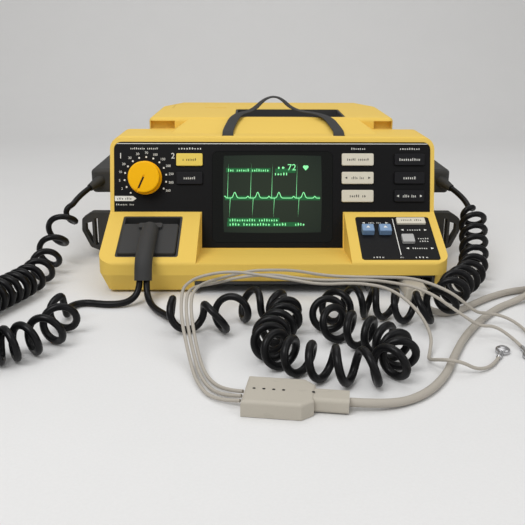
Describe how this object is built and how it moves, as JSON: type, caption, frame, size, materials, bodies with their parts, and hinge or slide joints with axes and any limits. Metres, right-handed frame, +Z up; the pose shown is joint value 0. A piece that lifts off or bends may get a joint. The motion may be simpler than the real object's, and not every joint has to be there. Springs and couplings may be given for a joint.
{
  "type": "portable defibrillator monitor",
  "caption": "Portable heart monitor and defibrillator: sloped control deck, screen, rotary dial, keys, two side paddles on curly cords and a patient cable.",
  "frame": {"origin": "on the bench under the middle of the case, at the bottom of the rubber feet", "axes": "+X to the right as the user faces the panel, +Y away from the user, +Z up"},
  "size_m": [0.6425, 0.6037, 0.1811],
  "materials": {
    "bare_aluminium": "bare sheet",
    "beige_key": "satin",
    "black_panel": "fine matte overlay",
    "black_plastic": "matte",
    "black_rubber": "matte",
    "black_webbing": "woven webbing",
    "blue_key": "satin",
    "board_green": "solder mask",
    "cable_grey": "satin",
    "case_yellow": "satin moulded case",
    "copper": "enamelled winding",
    "cord_black": "satin",
    "grey_key": "satin",
    "inner_plastic": "matte",
    "orange_key": "satin",
    "paper": "plain paper",
    "screen_glass": "dark tinted filter",
    "steel": "fine brushed",
    "tube_glass": "phosphor face",
    "yellow_key": "satin"
  },
  "bodies": {
    "case": {"upper_case": "case_yellow", "lower_tray": "case_yellow", "case_screws": "steel", "rubber_feet": "black_rubber", "connector_bay": "black_plastic", "front_panel": "black_panel", "screen_window": "screen_glass", "rotary_switch": "inner_plastic", "circuit_boards": "board_green", "picture_tube": "tube_glass", "tube_yoke": "copper", "pacer_pad": "black_panel", "paddle_socket": "black_plastic", "paddle_plug": "black_plastic", "plug_boot": "black_rubber", "chassis_frame": "bare_aluminium", "storage_capacitor": "bare_aluminium", "waveform_inductor": "copper", "battery_pack": "inner_plastic", "recorder_body": "inner_plastic", "handle_well": "black_plastic", "handle_strap": "black_webbing", "cord_guards": "black_plastic", "left_cord_tail": "cord_black", "left_cord_coil": "cord_black", "right_cord_tail": "cord_black", "right_cord_coil": "cord_black", "lead_plug": "cable_grey", "lead_yoke": "cable_grey", "trunk_from_yoke": "cable_grey", "trunk_coil": "cable_grey", "trunk_from_plug": "cable_grey", "lead_one": "cable_grey", "lead_two": "cable_grey", "lead_three": "cable_grey", "lead_snaps": "steel"},
    "charge_key": {"charge_key": "yellow_key"},
    "sync_key": {"sync_key": "black_plastic"},
    "lead_key": {"lead_key": "beige_key"},
    "size_key": {"size_key": "beige_key"},
    "alarm_key": {"alarm_key": "beige_key"},
    "record_key": {"record_key": "black_plastic"},
    "mark_key": {"mark_key": "black_plastic"},
    "trend_key": {"trend_key": "black_plastic"},
    "rate_key": {"rate_key": "blue_key"},
    "output_key": {"output_key": "blue_key"},
    "pacer_key": {"pacer_key": "beige_key"},
    "pacer_start_key": {"pacer_start_key": "grey_key"},
    "knob": {"energy_knob": "yellow_key", "knob_shaft": "steel"},
    "door": {"recorder_door": "case_yellow"},
    "roll": {"paper_roll": "paper"},
    "paddle_left": {"paddle_shell_left": "black_plastic", "paddle_electrode_left": "steel", "paddle_boot_left": "black_rubber"},
    "thumb_left": {"discharge_button_left": "orange_key"},
    "paddle_right": {"paddle_shell_right": "black_plastic", "paddle_electrode_right": "steel", "paddle_boot_right": "black_rubber"},
    "thumb_right": {"discharge_button_right": "orange_key"}
  },
  "joints": [
    {"name": "charge_key_press", "type": "slide", "parent": "case", "child": "charge_key", "axis": [0, 0.9617, -0.274], "range_m": [0, 0.0012], "stiffness_N_per_m": 800, "springref_m": -0.0008},
    {"name": "sync_key_press", "type": "slide", "parent": "case", "child": "sync_key", "axis": [0, 0.9617, -0.274], "range_m": [0, 0.0012], "stiffness_N_per_m": 800, "springref_m": -0.0008},
    {"name": "lead_key_press", "type": "slide", "parent": "case", "child": "lead_key", "axis": [0, 0.9617, -0.274], "range_m": [0, 0.0012], "stiffness_N_per_m": 800, "springref_m": -0.0008},
    {"name": "size_key_press", "type": "slide", "parent": "case", "child": "size_key", "axis": [0, 0.9617, -0.274], "range_m": [0, 0.0012], "stiffness_N_per_m": 800, "springref_m": -0.0008},
    {"name": "alarm_key_press", "type": "slide", "parent": "case", "child": "alarm_key", "axis": [0, 0.9617, -0.274], "range_m": [0, 0.0012], "stiffness_N_per_m": 800, "springref_m": -0.0008},
    {"name": "record_key_press", "type": "slide", "parent": "case", "child": "record_key", "axis": [0, 0.9617, -0.274], "range_m": [0, 0.0012], "stiffness_N_per_m": 800, "springref_m": -0.0008},
    {"name": "mark_key_press", "type": "slide", "parent": "case", "child": "mark_key", "axis": [0, 0.9617, -0.274], "range_m": [0, 0.0012], "stiffness_N_per_m": 800, "springref_m": -0.0008},
    {"name": "trend_key_press", "type": "slide", "parent": "case", "child": "trend_key", "axis": [0, 0.9617, -0.274], "range_m": [0, 0.0012], "stiffness_N_per_m": 800, "springref_m": -0.0008},
    {"name": "rate_key_press", "type": "slide", "parent": "case", "child": "rate_key", "axis": [0, 0.3655, -0.9308], "range_m": [0, 0.0012], "stiffness_N_per_m": 800, "springref_m": -0.0008},
    {"name": "output_key_press", "type": "slide", "parent": "case", "child": "output_key", "axis": [0, 0.3655, -0.9308], "range_m": [0, 0.0012], "stiffness_N_per_m": 800, "springref_m": -0.0008},
    {"name": "pacer_key_press", "type": "slide", "parent": "case", "child": "pacer_key", "axis": [0, 0.3655, -0.9308], "range_m": [0, 0.0012], "stiffness_N_per_m": 800, "springref_m": -0.0008},
    {"name": "pacer_start_key_press", "type": "slide", "parent": "case", "child": "pacer_start_key", "axis": [0, 0.3655, -0.9308], "range_m": [0, 0.0012], "stiffness_N_per_m": 800, "springref_m": -0.0008},
    {"name": "knob_turn", "type": "hinge", "parent": "case", "child": "knob", "pos_m": [-0.137, -0.08603, 0.10101], "axis": [0, 0.9617, -0.274], "range_deg": [0, 275]},
    {"name": "door_hinge", "type": "hinge", "parent": "case", "child": "door", "pos_m": [-0.07, 0.1432, 0.155], "axis": [-1, 0, 0], "range_deg": [0, 95]},
    {"name": "roll_spin", "type": "hinge", "parent": "case", "child": "roll", "pos_m": [-0.095, 0.116, 0.132], "axis": [1, 0, 0], "continuous": true},
    {"name": "paddle_left_lift", "type": "slide", "parent": "case", "child": "paddle_left", "axis": [0, 0, 1], "range_m": [0, 0.11]},
    {"name": "thumb_left_press", "type": "slide", "parent": "paddle_left", "child": "thumb_left", "axis": [0, -1, 0], "range_m": [0, 0.003], "stiffness_N_per_m": 600, "springref_m": -0.0015},
    {"name": "paddle_right_lift", "type": "slide", "parent": "case", "child": "paddle_right", "axis": [0, 0, 1], "range_m": [0, 0.11]},
    {"name": "thumb_right_press", "type": "slide", "parent": "paddle_right", "child": "thumb_right", "axis": [0, -1, 0], "range_m": [0, 0.003], "stiffness_N_per_m": 600, "springref_m": -0.0015}
  ]
}
